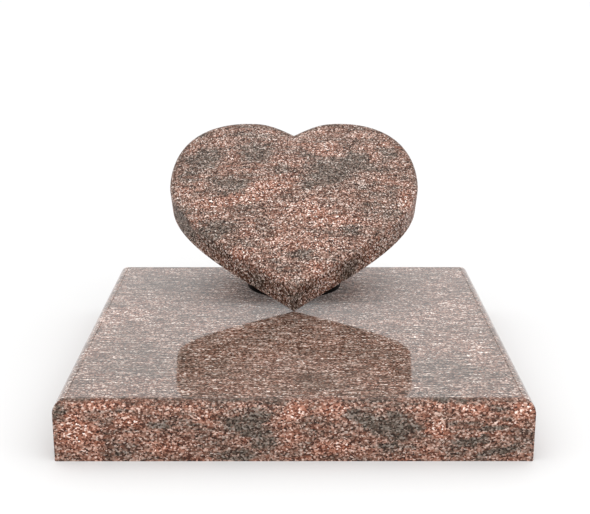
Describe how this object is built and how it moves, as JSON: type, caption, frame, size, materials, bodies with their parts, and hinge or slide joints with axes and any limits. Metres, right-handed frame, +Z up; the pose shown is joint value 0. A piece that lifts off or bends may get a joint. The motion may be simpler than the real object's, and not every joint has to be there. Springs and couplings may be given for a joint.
{
  "type": "heart headstone",
  "caption": "Heart-shaped gravestone with a gently domed face, leaning back on a round support on a square polished granite base plate.",
  "frame": {"origin": "middle of the base plate's underside, on the ground", "axes": "+Z up; the heart faces -Y, towards someone standing at the grave; +X to that person's right"},
  "size_m": [0.6, 0.6, 0.3343],
  "materials": {
    "plate_granite": "polished",
    "heart_granite": "polished",
    "support_granite": "honed"
  },
  "bodies": {
    "root": {"base_plate": "plate_granite", "heart_stone": "heart_granite", "round_support": "support_granite"}
  },
  "joints": []
}
